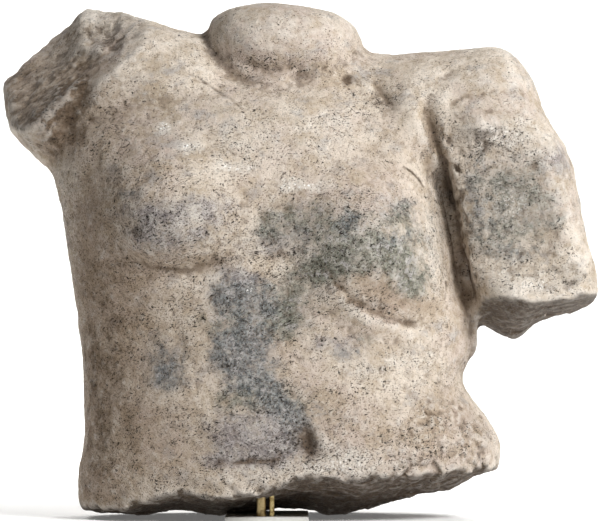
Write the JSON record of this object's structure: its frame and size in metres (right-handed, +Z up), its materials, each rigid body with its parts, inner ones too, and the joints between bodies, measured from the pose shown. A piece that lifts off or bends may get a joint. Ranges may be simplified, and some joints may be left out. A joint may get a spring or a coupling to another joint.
{
  "type": "marble torso fragment",
  "caption": "Weathered marble fragment of a nude female torso with a neck stump and broken arms, steadied by short brass pins in a thin plate.",
  "frame": {"origin": "centre of the box round the whole object, at its underside", "axes": "+Z up the body; +X across the shoulders towards the figure's left arm, which is on the viewer's right; -Y is the figure's front"},
  "size_m": [0.2635, 0.1184, 0.2257],
  "materials": {
    "marble": "worn cream marble with brown dirt, dark pits and blue-grey and green stains",
    "pale_paint": "plain pale paint, matt",
    "thick_brass": "plain drawn brass, slightly dull",
    "thin_brass": "plain drawn brass, slightly dull"
  },
  "bodies": {
    "root": {"marble_torso": "marble", "mount_plate": "pale_paint", "thick_pin": "thick_brass", "thin_pin": "thin_brass"}
  },
  "joints": []
}
